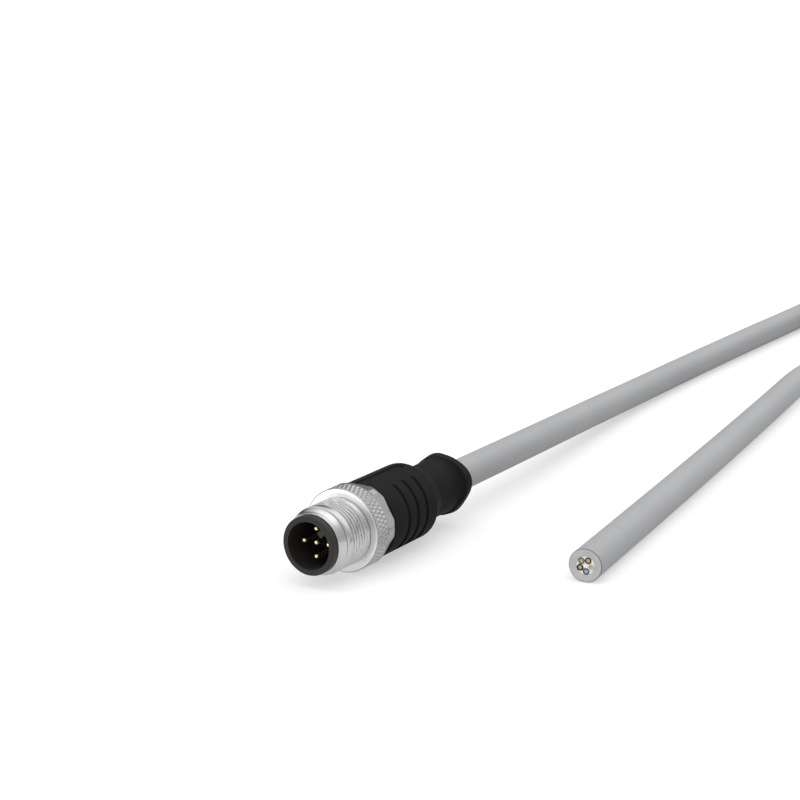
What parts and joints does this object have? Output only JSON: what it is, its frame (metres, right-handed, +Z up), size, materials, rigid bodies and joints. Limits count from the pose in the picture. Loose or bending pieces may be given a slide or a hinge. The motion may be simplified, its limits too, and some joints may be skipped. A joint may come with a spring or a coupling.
{
  "type": "circular sensor cable",
  "caption": "Circular plug on a grey sensor cable: black moulded grip, knurled metal coupling screw with hexagon, keyed socket with contact pins, spare cable coiled, far end cut square.",
  "frame": {"origin": "on the floor under the middle of the connector, without the free cable", "axes": "+Y runs along the connector from its mating face to its collar, +Z is up, +X is to the right seen from the mating face"},
  "size_m": [0.0818, 0.3187, 0.015],
  "materials": {
    "carrier_plastic": "satin moulded",
    "screw_nickel": "nickel plated, satin",
    "grip_plastic": "fine matte moulded",
    "mould_plastic": "plain moulded",
    "jacket_grey": "matte extruded",
    "filler_white": "cut, matte",
    "contact_gold": "gold plated",
    "conductor_copper": "bare copper",
    "insulation_brown": "extruded",
    "insulation_white": "extruded",
    "insulation_blue": "extruded",
    "insulation_black": "extruded",
    "insulation_grey": "extruded"
  },
  "bodies": {
    "root": {"contact_carrier": "carrier_plastic", "grip_body": "grip_plastic", "inner_mould": "mould_plastic", "jacket_end": "jacket_grey", "contact_pin_1": "contact_gold", "contact_pin_2": "contact_gold", "contact_pin_3": "contact_gold", "contact_pin_4": "contact_gold", "contact_pin_5": "contact_gold", "lead_brown_insulation": "insulation_brown", "lead_brown_conductor": "conductor_copper", "lead_white_insulation": "insulation_white", "lead_white_conductor": "conductor_copper", "lead_blue_insulation": "insulation_blue", "lead_blue_conductor": "conductor_copper", "lead_black_insulation": "insulation_black", "lead_black_conductor": "conductor_copper", "lead_grey_insulation": "insulation_grey", "lead_grey_conductor": "conductor_copper", "cable_lead": "jacket_grey", "cable_coil": "jacket_grey", "cable_return": "jacket_grey", "cable_end_jacket": "jacket_grey", "cable_end_filler": "filler_white", "cable_end_brown_insulation": "insulation_brown", "cable_end_brown_conductor": "conductor_copper", "cable_end_white_insulation": "insulation_white", "cable_end_white_conductor": "conductor_copper", "cable_end_blue_insulation": "insulation_blue", "cable_end_blue_conductor": "conductor_copper", "cable_end_black_insulation": "insulation_black", "cable_end_black_conductor": "conductor_copper", "cable_end_grey_insulation": "insulation_grey", "cable_end_grey_conductor": "conductor_copper"},
    "coupling_screw": {"coupling_screw": "screw_nickel"}
  },
  "joints": [
    {"name": "coupling_screw_spin", "type": "hinge", "parent": "root", "child": "coupling_screw", "pos_m": [0, -0.0102, 0.0075], "axis": [0, 1, 0], "continuous": true}
  ]
}
